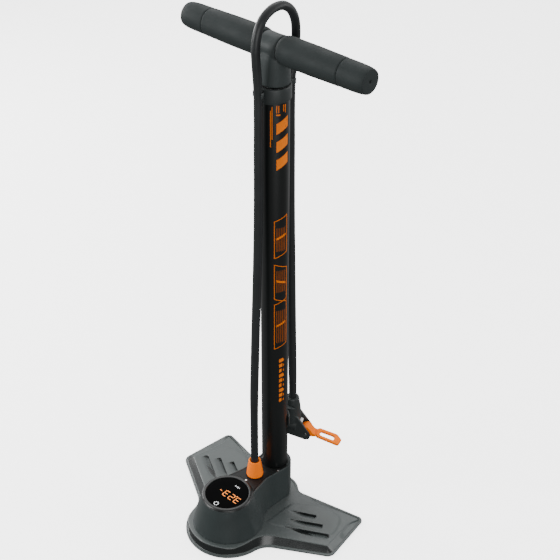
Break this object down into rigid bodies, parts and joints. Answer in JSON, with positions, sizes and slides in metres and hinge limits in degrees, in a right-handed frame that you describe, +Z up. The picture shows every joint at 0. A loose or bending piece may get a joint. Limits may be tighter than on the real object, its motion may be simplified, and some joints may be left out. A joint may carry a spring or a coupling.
{
  "type": "floor bike pump",
  "caption": "Upright floor pump with a three-toed stand, round digital gauge, T handle, hose looped over the handle and a lever-lock chuck.",
  "frame": {"origin": "on the floor, at the middle of the stand's width and depth", "axes": "+Z up along the barrel, +X along the handle, the gauge faces -Y, the barrel stands behind the origin"},
  "size_m": [0.2774, 0.223, 0.7214],
  "materials": {
    "stand": "mid grey painted casting, semi-gloss, lightly grained",
    "console": "dark slate grey satin shell",
    "deck": "near-black satin",
    "bezel": "black gloss ring",
    "display_glass": "dark display window",
    "circuit_board": "solder mask",
    "barrel": "black coated tube with printed orange marks",
    "black_trim": "fine-grained black plastic",
    "handle": "matte dark slate grey",
    "handle_end": "matte dark slate grey",
    "rubber": "moulded",
    "hose": "satin rubber hose",
    "orange": "satin orange",
    "white_plastic": "satin white",
    "steel": "plated",
    "chrome_rod": "hard chrome, polished",
    "casting": "die-cast, satin",
    "brass": "machined",
    "battery": "plain wrap"
  },
  "bodies": {
    "stand": {"base_stand": "stand", "foot_pad_front_right": "rubber", "foot_pad_back_right": "rubber", "foot_pad_front_left": "rubber", "foot_pad_back_left": "rubber", "foot_pad_nose": "rubber", "battery_cover": "black_trim", "battery_cover_screw": "steel", "battery_box": "black_trim", "battery_cell_front": "battery", "battery_cell_back": "battery", "battery_contact_right": "brass", "battery_contact_left": "brass", "barrel_screw_back": "steel", "barrel_screw_left": "steel", "barrel_screw_right": "steel", "console_screw_right": "steel", "console_screw_left": "steel", "barrel_socket": "casting", "channel_plug": "brass", "barrel_o_ring": "rubber", "check_valve_seat": "brass", "check_valve_spring": "steel", "hose_barb": "brass", "console_housing": "console", "console_deck": "deck", "display_bezel": "bezel", "display_lens": "display_glass", "display_panel": "deck", "gauge_board": "circuit_board", "pressure_sensor": "steel", "sensor_tube": "hose", "barrel_tube": "barrel", "top_collar": "black_trim", "rod_bush": "black_trim", "rod_wiper": "rubber", "stroke_bumper": "rubber", "hose_boot": "orange", "air_hose": "hose", "hose_ferrule": "black_trim", "chuck_holder": "black_trim", "chuck_body": "black_trim", "chuck_nut": "black_trim", "chuck_seal": "rubber", "lever_pin": "steel"},
    "valve": {"check_valve_disc": "rubber"},
    "handle": {"piston_rod": "chrome_rod", "rod_insert": "brass", "handle_core": "handle", "handle_grip_right": "handle", "handle_grip_left": "handle", "handle_end_right": "handle_end", "handle_end_left": "handle_end", "piston_head": "black_trim", "piston_guide_ring": "rubber", "piston_cup_seal": "rubber", "piston_washer": "steel", "piston_nut": "steel"},
    "lever": {"chuck_lever": "orange"},
    "plunger": {"chuck_plunger": "white_plastic"}
  },
  "joints": [
    {"name": "handle_slide", "type": "slide", "parent": "stand", "child": "handle", "axis": [0, 0, 1], "range_m": [0, 0.5], "deforming": ["air_hose"]},
    {"name": "lever_lock", "type": "hinge", "parent": "stand", "child": "lever", "pos_m": [0.0181, 0.10095, 0.0958], "axis": [0.4695, -0.8829, 0], "range_deg": [0, 90]},
    {"name": "plunger_slide", "type": "slide", "parent": "stand", "child": "plunger", "axis": [-0.8637, -0.4592, 0.2079], "range_m": [0, 0.002]},
    {"name": "check_valve_lift", "type": "slide", "parent": "stand", "child": "valve", "axis": [0, 0, -1], "range_m": [0, 0.0015], "stiffness_N_per_m": 150, "springref_m": -0.001, "deforming": ["check_valve_spring"]}
  ],
  "couplings": [
    {"joint": "plunger_slide", "follows": "lever_lock", "m_per_rad": 0.001272}
  ]
}
